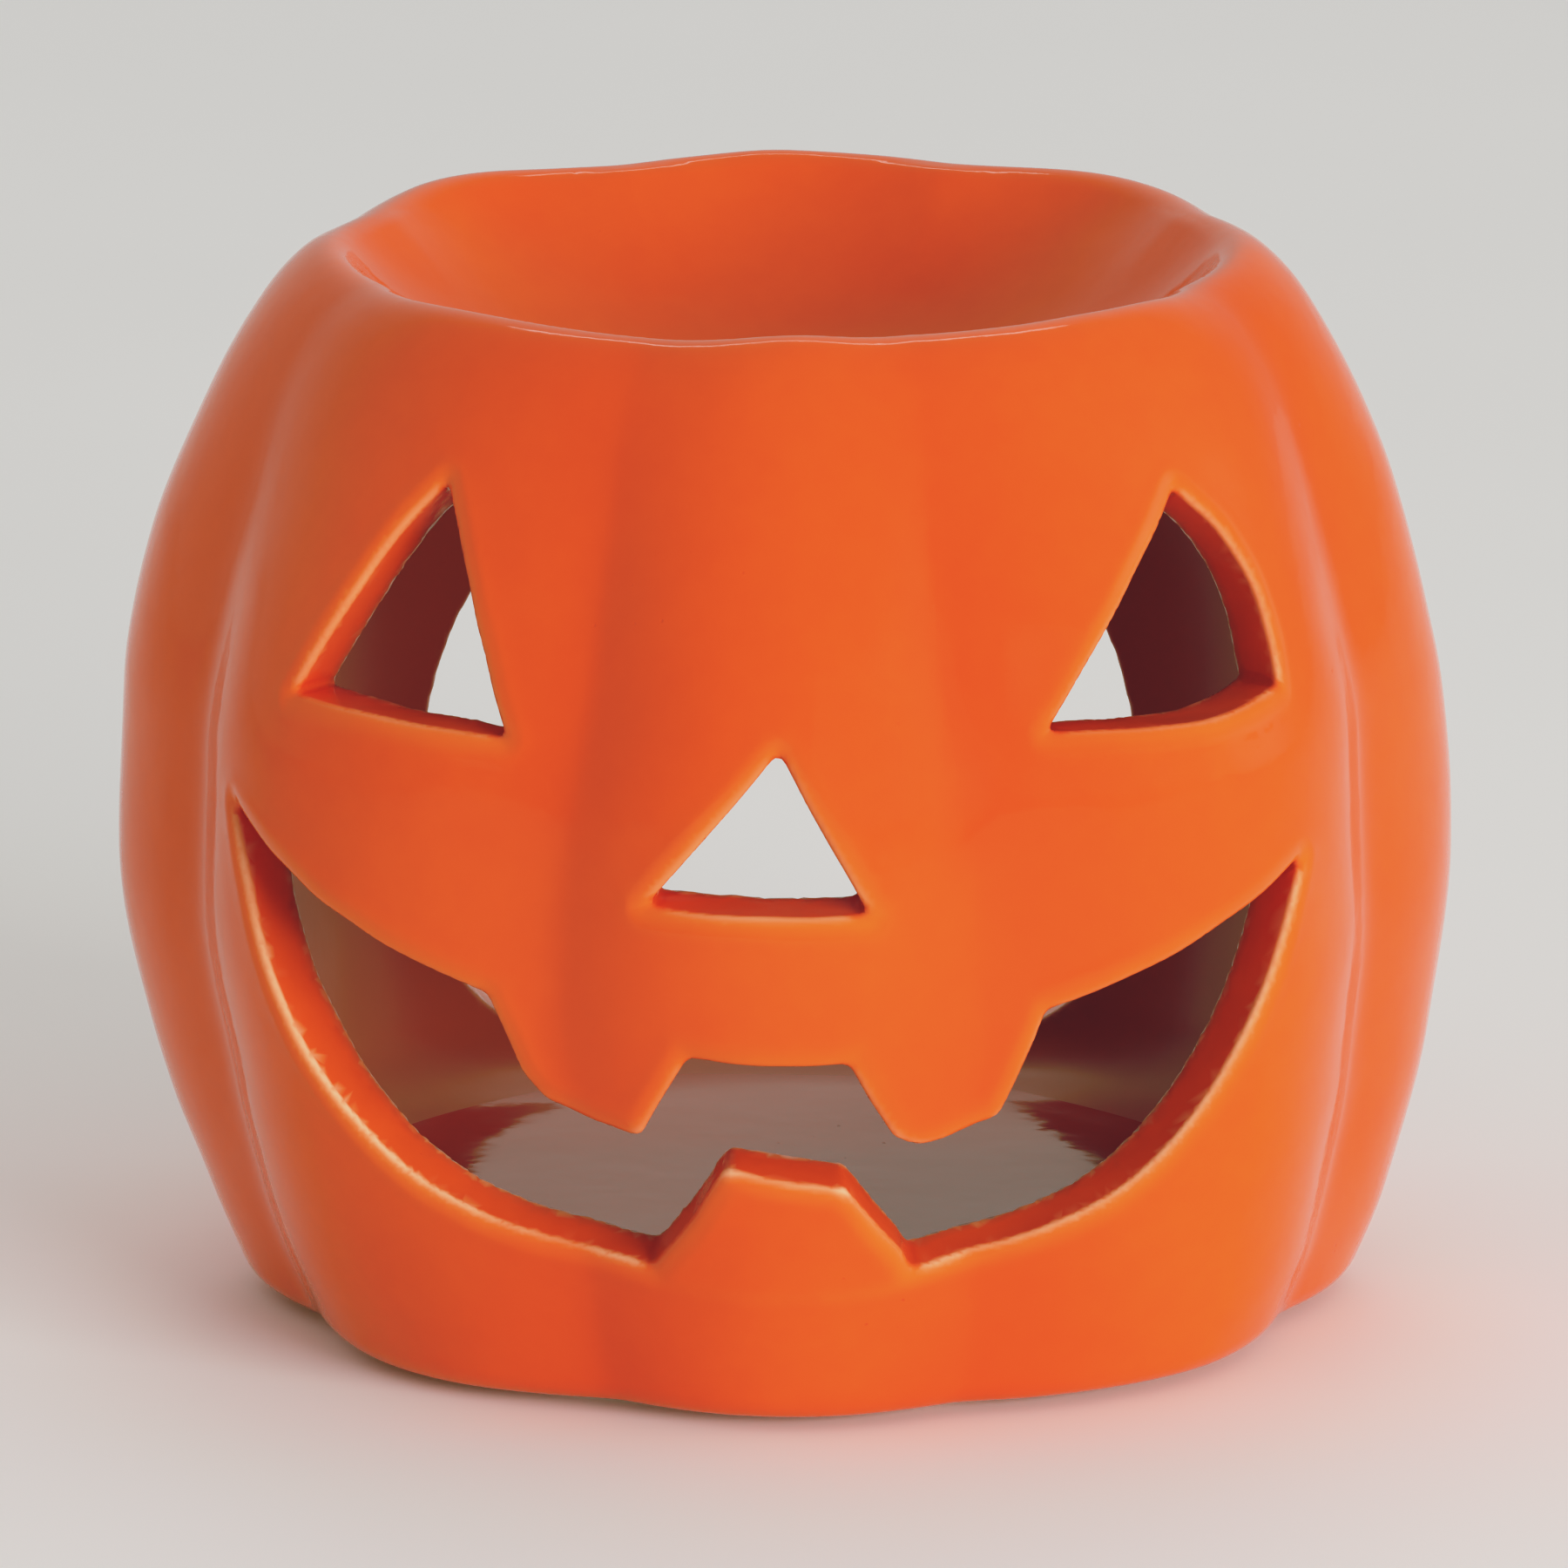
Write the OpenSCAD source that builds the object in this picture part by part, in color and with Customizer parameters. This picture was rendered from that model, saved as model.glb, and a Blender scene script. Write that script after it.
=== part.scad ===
// Ceramic pumpkin tealight burner with an open melt dish.
// One slip-cast, glazed and fired ceramic body, drawn as the four formed
// pieces that are luted together before firing.
// Millimetres, +Z up, the face looks along -Y.
// Origin: centre of the foot on the surface that it stands on.

/* [Body] */
// overall height, table to rim crest
body_h = 84; // [82:0.5:87]
// belly radius at the widest level, on a lobe
belly_r = 52.4; // [51:0.2:54]
// radius of the lobed base edge
base_r = 43.2; // [41.6:0.2:44]
// radius of the rim crest, on a lobe
rim_r = 35.4; // [35:0.2:36.4]
// extra width of the rim at its two rear quarters
rim_ear = 1; // [0:0.1:1.4]
// horizontal wall thickness
wall = 6; // [5.6:0.2:6.6]
// number of lobes round the body
lobes = 8; // [6:2:12]
// groove depth at the belly
groove_d = 4.2; // [1:0.2:5]
// groove depth at the base edge
base_groove_d = 3; // [1:0.1:3.2]
// groove depth at the rim
rim_groove_d = 1.3; // [0:0.1:1.6]
// how far the rim dips at each groove
rim_wave = 0.6; // [0:0.1:1]
// sideways lean of the hand-finished body
lean = 1; // [0:0.1:1]

/* [Melt dish] */
// depth of the dish below the rim
dish_depth = 17; // [15:0.5:18]
// radius of the luted seam round the dish
dish_seam_r = 29; // [28:0.5:29.5]
// dish thickness at its centre
dish_t = 5; // [4.5:0.5:5.5]

/* [Floor and foot] */
// level of the chamber floor above the table
floor_z = 7.5; // [7:0.5:8.5]
// radius of the floor disc
floor_r = 34.5; // [33:0.5:35.5]
// how far the floor is dished at its centre
floor_sag = 0.3; // [0.1:0.1:0.6]
// height of the dry, unglazed foot
foot_h = 0.8; // [0.6:0.1:1.2]
// radius of the dry foot
foot_r = 37; // [36.4:0.1:37.2]

/* [Face] */
// height of the eye peaks on the drawing plane
eye_top = 77.5; // [74:0.5:78]
// height of the lower eye corners
eye_low = 56; // [54:0.5:58]
// height of the nose peak
nose_top = 55; // [53:0.5:56]
// height of the nose base
nose_low = 43; // [42:0.5:44.5]
// height of the lowest point of the smile
mouth_low = 12.4; // [12:0.2:14]
// height of the upper lip at the centre
lip_mid = 31; // [30.5:0.5:32]

/* [Back opening] */
// half width of the opening in the back
arch_w = 28.8; // [26:0.2:29]
// level of the widest part of the opening
arch_z = 32.5; // [31:0.5:33]
// level of the sill
sill_z = 9; // [9:0.5:10.5]

/* [Hidden] */

glaze = [0.93, 0.38, 0.17];
glaze_in = [0.72, 0.24, 0.13];
biscuit = [0.88, 0.80, 0.70];

n_col = 12 * lobes;          // columns round the body
soft = 0.15;                 // softness of the glaze-filled groove
zs = body_h / 84;            // vertical scale of the profile

// body profile: height, radius on a lobe
prof = [[0, base_r - 0.4], [0.8, base_r], [9, 46.6 * belly_r / 52.4], [22, 50.4 * belly_r / 52.4],
        [36, belly_r], [49, belly_r - 0.6], [61, 49.2 * belly_r / 52.4],
        [71, 45.4 * belly_r / 52.4], [78, 41.8 * belly_r / 52.4], [82.6, rim_r + 2.8], [84, rim_r], [87, rim_r - 4]];
// groove depth by height
grv = [[0, base_groove_d], [0.8, base_groove_d], [20, groove_d - 0.4], [42, groove_d],
       [65, groove_d * 0.8], [84, rim_groove_d], [87, rim_groove_d]];
// sideways lean by height
lean_x = [[-9, 1.1], [0, 1.1], [17, 0.7], [38, 0], [58, -0.2], [84, 0], [95, 0]];

// cubic through a table of [z, value]
function seg(t, z, i = 0) = (i >= len(t) - 2 || z < t[i + 1][0]) ? i : seg(t, z, i + 1);
function sec(t, i) = (t[i + 1][1] - t[i][1]) / (t[i + 1][0] - t[i][0]);
function slope(t, i) = i <= 0 ? sec(t, 0) : i >= len(t) - 1 ? sec(t, len(t) - 2) :
    sec(t, i - 1) * sec(t, i) <= 0 ? 0 : 2 * sec(t, i - 1) * sec(t, i) / (sec(t, i - 1) + sec(t, i));
function curve(t, z) = let (i = seg(t, z), h = t[i + 1][0] - t[i][0], s = (z - t[i][0]) / h)
    (2 * s * s * s - 3 * s * s + 1) * t[i][1] + (s * s * s - 2 * s * s + s) * h * slope(t, i)
    + (3 * s * s - 2 * s * s * s) * t[i + 1][1] + (s * s * s - s * s) * h * slope(t, i + 1);

// 0 on a lobe, 1 in a groove
function vee(a) = 1 - sqrt((pow(cos(a * lobes / 2), 2) + soft * soft) / (1 + soft * soft));
// grooves are softer at the front
function gf(a) = 1.15 - 0.35 * pow(max(0, cos(a)), 2);
// the rim is a little wider at the two rear quarters
function ear(a, z) = rim_ear * exp(-pow((abs(a > 180 ? a - 360 : a) - 132) / 24, 2)) * pow(max(0, (z / zs - 70) / 14), 2);
function r_out(a, z) = curve(prof, z / zs) + ear(a, z) - curve(grv, z / zs) * vee(a) * gf(a);
function r_in(a, z) = curve(prof, z / zs) - wall - 0.6 * curve(grv, z / zs) * vee(a) * gf(a);
function off_x(z) = lean * curve(lean_x, z / zs);
function dip(a) = rim_wave * (1 - cos(a * lobes)) / 2;

// spherical dish surface
dish_low = body_h - dish_depth;
dish_rise = dish_depth - 1.1;
dish_sr = (pow(rim_r - 2, 2) + dish_rise * dish_rise) / (2 * dish_rise);
function z_dish(r) = dish_low + dish_sr - sqrt(dish_sr * dish_sr - r * r);
seam_z = z_dish(dish_seam_r);      // dish surface at the seam
ledge_z = seam_z - 2.6;            // rebate that the dish sits on
ledge_r = dish_seam_r - 1.5;
lip_z = ledge_z - 2;               // underside of the lip
fit = 0.03;                        // clearance of a luted seam

// one ring of points: radius function index, height, extra
// kind 0: outer wall, 1: crest, 2: circle, 3: inner wall
function ring(k, z, d = 0) = [for (i = [0:n_col - 1]) let (
    a = i * 360 / n_col,
    r = k == 0 ? r_out(a, z) - d : k == 1 ? r_out(a, body_h) - d : k == 2 ? d : r_in(a, z) - d,
    zz = k == 1 ? z - dip(a) : k == 0 ? z - dip(a) * pow(max(0, (z / zs - 74) / 10), 1.5) : z,
    x0 = k == 2 ? 0 : k == 1 ? off_x(body_h) : off_x(z))
    [r * sin(a) + x0, -r * cos(a), zz]];
// between the crest and the seam circle: f = 1 at the crest
function lip_ring(f) = [for (i = [0:n_col - 1]) let (
    a = i * 360 / n_col,
    rc = r_out(a, body_h) - 2,
    r = dish_seam_r + f * (rc - dish_seam_r))
    [r * sin(a) + f * off_x(body_h), -r * cos(a),
     z_dish(r) + f * f * (body_h - 1.1 - z_dish(rc) - dip(a))]];

rings = concat(
    [ring(0, foot_h, 1.3), ring(0, foot_h + 0.35, 0.4)],
    [for (z = [2, 6, 12, 18, 25, 32, 39, 46, 53, 60, 66, 71.5, 76, 80]) ring(0, z * zs)],
    [ring(1, body_h - 1.5, -3), ring(1, body_h - 0.5, -1.5), ring(1, body_h, 0), ring(1, body_h - 0.35, 1)],
    [lip_ring(1), lip_ring(0.5)],
    [ring(2, seam_z, dish_seam_r), ring(2, ledge_z, dish_seam_r), ring(2, ledge_z, ledge_r),
     ring(2, lip_z, ledge_r), ring(2, lip_z + 0.2, 33)],
    [for (z = [71, 68, 62, 54, 46, 38, 30, 22, 15, 11]) ring(3, z * zs, z > 70 ? 1 : 0)],
    [ring(3, floor_z + 1.4, 1.2), ring(2, floor_z, floor_r), ring(2, foot_h, floor_r)]);

module body_blank() {
    nr = len(rings);
    polyhedron(
        points = [for (r = rings) for (p = r) p],
        faces = [for (j = [0:nr - 1]) for (i = [0:n_col - 1]) let (
            j2 = (j + 1) % nr, i2 = (i + 1) % n_col,
            a = j * n_col + i, b = j * n_col + i2, c = j2 * n_col + i2, d = j2 * n_col + i)
            each [[a, c, b], [a, d, c]]],
        convexity = 12);
}

// ---- cut-outs, drawn on a plane 80 mm ahead of the point that every cut aims at
focus_y = 30;
plane_d = 80;
far_d = 102;
near_d = 44;

module eye_left() {
    polygon([[-31, eye_top], [-35.5, eye_top - 4.5], [-40.5, eye_low + 10], [-47, eye_low + 1], [-23, eye_low - 1]]);
}
module eye_right() {
    polygon([[37.5, eye_top - 0.5], [42.5, eye_top - 4.5], [46, eye_low + 12], [47.6, eye_low + 7],
             [48, eye_low + 1.5], [37.5, eye_low - 0.5], [21.5, eye_low - 0.5]]);
}
module nose() {
    polygon([[-0.4, nose_top], [-10.6, nose_low], [6.4, nose_low - 0.3]]);
}

mouth_l = -58;     // left corner
mouth_r = 50;      // right corner
rise_l = 51;       // level of the left corner
rise_r = 45.5;     // level of the right corner
function corner(u) = u < 0 ? mouth_l : mouth_r;
function corner_z(u) = u < 0 ? rise_l : rise_r;
function low_lip(u) = mouth_low + (corner_z(u) - mouth_low) * pow(abs(u / corner(u)), 3.6);
function top_lip(u) = lip_mid + (corner_z(u) - lip_mid) * pow(abs(u / corner(u)), 1.8);
lip_u = [for (k = [0:28]) let (t = k / 28) mouth_l + (mouth_r - mouth_l) * (0.5 - 0.5 * cos(180 * t))];

module mouth() {
    difference() {
        polygon(concat([for (u = lip_u) [u, low_lip(u)]],
                       [for (k = [len(lip_u) - 2:-1:1]) [lip_u[k], top_lip(lip_u[k])]]));
        // upper teeth
        polygon([[-25.5, 38], [-23.5, 33.5], [-21.5, 28.5], [-19.5, 26.2], [-15.5, 24.9], [-11.3, 24.2], [-7, 32], [-7, 38]]);
        polygon([[4.6, 38], [4.6, 31.5], [8.4, 24.8], [10.4, 23.8], [12.4, 23.8], [17.4, 25], [20.2, 31.6], [22.4, 38]]);
        // lower tooth
        polygon([[-12, 10], [-10.6, 12.6], [-7, 18], [-4.6, 22], [4, 21], [9.4, 13.4], [11, 10]]);
    }
}

// a drafted cut that narrows toward the focus point at height zf
module cut(zf) {
    translate([0, focus_y - far_d, zf]) rotate([-90, 0, 0]) mirror([0, 1, 0])
        linear_extrude(height = far_d - near_d, scale = near_d / far_d)
            scale(far_d / plane_d) translate([0, -zf]) children();
}

// opening in the back: round arch, fuller lower corners, flat sill
function arch_pt(a) = let (
    n = sin(a) >= 0 ? 2 : 3.3,
    hz = sin(a) >= 0 ? arch_w : arch_z - sill_z)
    [arch_w * sign(cos(a)) * pow(abs(cos(a)), 2 / n) - 0.4,
     arch_z + hz * sign(sin(a)) * pow(abs(sin(a)), 2 / n)];
module back_opening() {
    translate([0, 8, 0]) rotate([90, 0, 0]) mirror([0, 0, 1])
        linear_extrude(height = 60) polygon([for (k = [0:47]) arch_pt(k * 7.5 + 0.01)]);
}

// lobed wall with the rolled rim, the cut face and the back opening
module pumpkin_shell() color(glaze)
    resize([0, 0, 0]) difference() {
        body_blank();
        cut(51) eye_left();
        cut(51) eye_right();
        cut(48) nose();
        cut(33) mouth();
        back_opening();
    }

// smooth concave dish that drops into the rebate under the rim
module melt_dish() color(glaze)
    rotate_extrude($fn = 96) polygon(concat(
        [[0, dish_low - dish_t]],
        [for (k = [1:12]) let (r = (ledge_r - fit) * k / 12) [r, dish_low - dish_t + (lip_z - dish_low + dish_t) * pow(k / 12, 2)]],
        [[ledge_r - fit, ledge_z], [dish_seam_r - fit, ledge_z], [dish_seam_r - fit, seam_z]],
        [for (k = [15:-1:0]) let (r = dish_seam_r * k / 16) [r, z_dish(r)]]));

// chamber floor, faintly dished, luted inside the base of the wall
module tealight_floor() color(glaze_in)
    rotate_extrude($fn = 96) polygon(concat(
        [[0, foot_h], [floor_r - fit, foot_h], [floor_r - fit, floor_z]],
        [for (k = [7:-1:0]) let (r = floor_r * k / 8) [r, floor_z - floor_sag * (1 - pow(r / floor_r, 2))]]));

// dry, unglazed flat foot that the figure stands on
module dry_foot() color(biscuit) cylinder(h = foot_h, r = foot_r, $fn = 96);

pumpkin_shell();
melt_dish();
tealight_floor();
dry_foot();
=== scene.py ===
"""Visual model of the ceramic pumpkin tealight burner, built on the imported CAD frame.

The glazed body is an implicit solid in millimetres: a lobed wall with a rolled rim, a
spherical dish, a chamber with a filleted floor, hand-cut openings with rounded outer and
crisp inner edges. It is meshed, split at the CAD joints, and glazed with node materials."""

import math

import bpy
import bmesh
import numpy as np
from mathutils import Matrix, Vector


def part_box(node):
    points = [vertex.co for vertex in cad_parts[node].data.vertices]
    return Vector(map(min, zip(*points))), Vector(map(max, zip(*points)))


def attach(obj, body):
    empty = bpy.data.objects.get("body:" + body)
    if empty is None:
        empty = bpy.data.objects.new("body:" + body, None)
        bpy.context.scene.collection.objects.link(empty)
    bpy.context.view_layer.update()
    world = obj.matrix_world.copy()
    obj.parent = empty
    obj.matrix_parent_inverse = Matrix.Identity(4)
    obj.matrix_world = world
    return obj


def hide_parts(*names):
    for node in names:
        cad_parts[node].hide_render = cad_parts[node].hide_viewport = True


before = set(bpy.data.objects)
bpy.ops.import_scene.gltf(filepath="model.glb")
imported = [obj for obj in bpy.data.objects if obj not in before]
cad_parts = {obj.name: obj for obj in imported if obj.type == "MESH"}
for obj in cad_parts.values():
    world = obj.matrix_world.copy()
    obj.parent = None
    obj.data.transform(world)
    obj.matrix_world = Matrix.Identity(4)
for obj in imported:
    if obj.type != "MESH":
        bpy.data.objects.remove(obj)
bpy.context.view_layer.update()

dish_lo, dish_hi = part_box("melt_dish")
floor_lo, floor_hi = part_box("tealight_floor")
foot_lo, foot_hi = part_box("dry_foot")
shell_lo, shell_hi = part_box("pumpkin_shell")
BODY_H = shell_hi.z * 1000.0
SEAM_R = dish_hi.x * 1000.0 + 0.03
FLOOR_R = floor_hi.x * 1000.0 + 0.03
FOOT_H = foot_hi.z * 1000.0
FOOT_R = foot_hi.x * 1000.0
FLOOR_Z = floor_hi.z * 1000.0

# ------------------------------------------------------------------ small maths


def smooth(a, b, x):
    t = np.clip((x - a) / (b - a), 0.0, 1.0)
    return t * t * (3.0 - 2.0 * t)


def smax(a, b, k):
    h = np.maximum(k - np.abs(a - b), 0.0) / k
    return np.maximum(a, b) + h * h * k * 0.25


class Curve:
    """The CAD's cubic through a table of (z, value), tabulated finely."""

    def __init__(self, table, lo=-12.0, hi=98.0, step=0.05):
        z = np.array([p[0] for p in table], float)
        v = np.array([p[1] for p in table], float)
        h = np.diff(z)
        s = np.diff(v) / h
        m = np.zeros(len(z))
        m[0], m[-1] = s[0], s[-1]
        for i in range(1, len(z) - 1):
            if s[i - 1] * s[i] > 0:
                m[i] = 2 * s[i - 1] * s[i] / (s[i - 1] + s[i])
        q = np.arange(lo, hi, step)
        i = np.clip(np.searchsorted(z, q, side="right") - 1, 0, len(z) - 2)
        t = (q - z[i]) / h[i]
        self.q = q
        self.y = (
            (2 * t**3 - 3 * t**2 + 1) * v[i]
            + (t**3 - 2 * t**2 + t) * h[i] * m[i]
            + (3 * t**2 - 2 * t**3) * v[i + 1]
            + (t**3 - t**2) * h[i] * m[i + 1]
        )

    def __call__(self, x):
        return np.interp(x, self.q, self.y)


class Waves:
    """A sum of plane waves: a smooth, repeatable unevenness of about -1 to 1."""

    def __init__(self, seed, length, count=9):
        rng = np.random.RandomState(seed)
        d = rng.normal(size=(count, 3))
        d /= np.linalg.norm(d, axis=1)[:, None]
        lam = length * rng.uniform(0.7, 1.5, size=count)
        self.k = d * (2 * math.pi / lam)[:, None]
        self.p = rng.uniform(0, 2 * math.pi, size=count)
        self.a = 1.3 / math.sqrt(count)

    def __call__(self, x, y, z):
        out = np.zeros_like(x)
        for k, p in zip(self.k, self.p):
            out += np.sin(k[0] * x + k[1] * y + k[2] * z + p)
        return out * self.a


def polygon_distance(poly, xs, ys):
    """Signed distance on a grid to a closed polygon, negative inside."""
    X, Y = np.meshgrid(xs, ys, indexing="ij")
    d2 = np.full(X.shape, 1e12)
    inside = np.zeros(X.shape, bool)
    nxt = np.roll(poly, -1, axis=0)
    for a, b in zip(poly, nxt):
        e = b - a
        ee = float(e @ e)
        if ee < 1e-12:
            continue
        wx, wy = X - a[0], Y - a[1]
        t = np.clip((wx * e[0] + wy * e[1]) / ee, 0, 1)
        d2 = np.minimum(d2, (wx - t * e[0]) ** 2 + (wy - t * e[1]) ** 2)
        if a[1] != b[1]:
            hit = ((a[1] > Y) != (b[1] > Y)) & (X < a[0] + wy * e[0] / e[1])
            inside ^= hit
    return np.where(inside, -1.0, 1.0) * np.sqrt(d2)


def blur(A, sigma):
    """Gaussian blur of a grid, sigma in cells."""
    n = int(math.ceil(3 * sigma))
    w = np.exp(-0.5 * (np.arange(-n, n + 1) / sigma) ** 2)
    w /= w.sum()
    for axis in (0, 1):
        P = np.pad(A, [(n, n) if ax == axis else (0, 0) for ax in (0, 1)], mode="edge")
        out = np.zeros_like(A)
        for i, c in enumerate(w):
            sl = [slice(None), slice(None)]
            sl[axis] = slice(i, i + A.shape[axis])
            out += c * P[tuple(sl)]
        A = out
    return A


class Grid:
    """A 2-D field read with cubic B-spline weights, so that it is smooth everywhere."""

    def __init__(self, x0, y0, h, A):
        self.x0, self.y0, self.h = x0, y0, h
        self.A = np.ascontiguousarray(A, np.float64).ravel()
        self.nx, self.ny = A.shape

    @staticmethod
    def _w(t):
        u = 1 - t
        return (
            u * u * u / 6,
            (3 * t * t * t - 6 * t * t + 4) / 6,
            (3 * u * u * u - 6 * u * u + 4) / 6,
            t * t * t / 6,
        )

    def __call__(self, x, y):
        fx = np.clip((x - self.x0) / self.h, 1.0, self.nx - 2.001)
        fy = np.clip((y - self.y0) / self.h, 1.0, self.ny - 2.001)
        ix = fx.astype(np.int64)
        iy = fy.astype(np.int64)
        wx = self._w(fx - ix)
        wy = self._w(fy - iy)
        out = np.zeros_like(fx)
        for i in range(4):
            row = (ix + i - 1) * self.ny + iy - 1
            acc = np.zeros_like(fx)
            for j in range(4):
                acc += wy[j] * self.A[row + j]
            out += wx[i] * acc
        return out


def hermite_arc(p0, t0, p1, t1, n=14):
    """Points of a smooth arc from p0 to p1 with the given unit tangents."""
    p0, t0, p1, t1 = (np.array(v, float) for v in (p0, t0, p1, t1))
    c = np.linalg.norm(p1 - p0)
    t0 = t0 / np.linalg.norm(t0) * c
    t1 = t1 / np.linalg.norm(t1) * c
    s = np.linspace(0, 1, n, endpoint=False)[:, None]
    return (
        (2 * s**3 - 3 * s**2 + 1) * p0
        + (s**3 - 2 * s**2 + s) * t0
        + (3 * s**2 - 2 * s**3) * p1
        + (s**3 - s**2) * t1
    )


# ------------------------------------------------------------------ the body's sections
LOBES = 8
prof = Curve(
    [(-9, 39), (0.8, 43.2), (9, 46.6), (22, 50.4), (36, 52.4), (49, 51.8), (61, 49.2),
     (71, 45.4), (78, 41.8), (82.6, 38.2), (84, 35.4), (87, 31.4)]
)
grv = Curve([(-9, 3), (0.8, 3), (20, 3.8), (42, 4.2), (65, 3.36), (84, 1.3), (95, 1.3)])
lean = Curve([(-9, 1.1), (0, 1.1), (17, 0.7), (38, 0), (58, -0.2), (84, 0), (95, 0)])
WALL = 6.0
DISH_LOW = BODY_H - 17.0
DISH_R = (33.4**2 + 15.9**2) / (2 * 15.9)


def z_dish(r):
    return DISH_LOW + DISH_R - np.sqrt(DISH_R**2 - r * r)


def build_outer():
    """Solid of revolution between the outer wall, the rolled crest and the dish."""
    z = np.linspace(-6, 82.6, 120, endpoint=False)
    wall = np.stack([prof(z), z], 1)
    s = 33.4 / DISH_R
    crest = hermite_arc((38.2, 82.6), (-1.125, 1), (35.4, 84), (-1, 0))
    inner = hermite_arc((35.4, 84), (-1, 0), (33.4, z_dish(33.4)), (-math.sqrt(1 - s * s), -s))
    r = np.linspace(33.4, 0, 40)
    dish = np.stack([r, z_dish(r)], 1)
    half = np.concatenate([wall, crest, inner, dish])
    half[:, 1] += np.where(half[:, 1] > 40, BODY_H - 84.0, 0)
    mirror = half[::-1] * np.array([-1, 1])
    poly = np.concatenate([half, mirror[1:]])
    h = 0.2
    xs = np.arange(-5, 60, h)
    ys = np.arange(-5, 92, h)
    return Grid(xs[0], ys[0], h, polygon_distance(poly, xs, ys))


def build_cavity():
    """The chamber: dish underside, inner wall, swept fillet and floor."""
    r = np.linspace(0, 27.5, 16)
    under = np.stack([r, 62 + 11.64 * (r / 27.5) ** 2], 1)
    shoulder = np.concatenate([
        hermite_arc((27.5, 73.64), (1, 0.5), (33.6, 73.9), (1, -0.25), 8),
        hermite_arc((33.6, 73.9), (1, -0.25), (40.7, 68), (0.35, -1), 10),
    ])
    z = np.linspace(68, 13.5, 60, endpoint=False)[1:]
    wall = np.stack([prof(z) - WALL, z], 1)
    zf, rf = FLOOR_Z, 31.9
    top_r = float(prof(13.5)) - WALL
    a = np.linspace(0, math.pi / 2, 22)
    fillet = np.stack([rf + (top_r - rf) * np.cos(a), 13.5 - (13.5 - zf) * np.sin(a)], 1)
    r = np.linspace(rf, 0, 16)[1:]
    floor = np.stack([r, zf - 0.3 * (1 - (r / rf) ** 2)], 1)
    half = np.concatenate([under, shoulder, wall, fillet, floor])
    mirror = half[::-1] * np.array([-1, 1])
    poly = np.concatenate([half, mirror])
    h = 0.25
    xs = np.arange(-5, 60, h)
    ys = np.arange(-5, 92, h)
    return Grid(xs[0], ys[0], h, blur(polygon_distance(poly, xs, ys), 2.4))


# ------------------------------------------------------------------ the cut openings
PLANE, FOCUS_Y = 80.0, 30.0
EYE_L = [(-31, 77.5), (-35.5, 73), (-40.5, 66), (-47, 57), (-23, 55)]
EYE_R = [(37.5, 77), (42.5, 73), (46, 68), (47.6, 63), (48, 57.5), (37.5, 55.5), (21.5, 55.5)]
NOSE = [(-0.4, 55), (-10.6, 43), (6.4, 42.7)]
MOUTH_L, MOUTH_R, RISE_L, RISE_R, LOW, LIP = -58.0, 50.0, 51.0, 45.5, 12.4, 31.0
TOOTH_L = [(-25.5, 38), (-23.5, 33.5), (-21.5, 28.5), (-19.5, 26.2), (-15.5, 24.9), (-11.3, 24.2), (-7, 32), (-7, 38)]
TOOTH_R = [(4.6, 38), (4.6, 31.5), (8.4, 24.8), (10.4, 23.8), (12.4, 23.8), (17.4, 25), (20.2, 31.6), (22.4, 38)]
TOOTH_B = [(-12, 10), (-10.6, 12.6), (-7, 18), (-4.5, 22.5), (4.7, 20.9), (9.6, 14.1), (11.4, 10)]


def eased(points, sharp):
    """A smooth curve through the points, with true corners at the listed ones."""
    P = np.array(points, float)
    n = len(P)
    out = []
    t = np.arange(8)[:, None] / 8
    for i in range(n):
        j = (i + 1) % n
        a, b = P[i], P[j]
        m0 = (b - a) if i in sharp else (b - P[i - 1]) / 2
        m1 = (b - a) if j in sharp else (P[(j + 1) % n] - a) / 2
        out.append((2 * t**3 - 3 * t**2 + 1) * a + (t**3 - 2 * t**2 + t) * m0
                   + (3 * t**2 - 2 * t**3) * b + (t**3 - t**2) * m1)
    return np.concatenate(out)


def cut_grid(make, box, sigma, h=0.15):
    xs = np.arange(box[0] - 6, box[1] + 6, h)
    ys = np.arange(box[2] - 6, box[3] + 6, h)
    return Grid(xs[0], ys[0], h, blur(make(xs, ys), sigma / h))


def mouth_field(xs, ys):
    t = np.linspace(0, 1, 61)
    u = MOUTH_L + (MOUTH_R - MOUTH_L) * (0.5 - 0.5 * np.cos(math.pi * t))
    corner = np.where(u < 0, MOUTH_L, MOUTH_R)
    rise = np.where(u < 0, RISE_L, RISE_R)
    low = LOW + (rise - LOW) * np.abs(u / corner) ** 3.6
    top = LIP + (rise - LIP) * np.abs(u / corner) ** 1.8
    poly = np.concatenate([np.stack([u, low], 1), np.stack([u, top], 1)[-2:0:-1]])
    d = polygon_distance(poly, xs, ys)
    for tooth in (TOOTH_L, TOOTH_R, TOOTH_B):
        d = np.maximum(d, -polygon_distance(np.array(tooth, float), xs, ys))
    return d


def arch_field(xs, ys):
    a = np.radians(np.arange(0, 360, 4.0) + 0.01)
    n = np.where(np.sin(a) >= 0, 2.0, 3.3)
    hz = np.where(np.sin(a) >= 0, 28.8, 23.5)
    c, s = np.cos(a), np.sin(a)
    poly = np.stack([
        28.8 * np.sign(c) * np.abs(c) ** (2 / n) - 0.4,
        32.5 + hz * np.sign(s) * np.abs(s) ** (2 / n),
    ], 1)
    return polygon_distance(poly, xs, ys)


def plain(points):
    return lambda xs, ys: polygon_distance(np.array(points, float), xs, ys)


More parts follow.
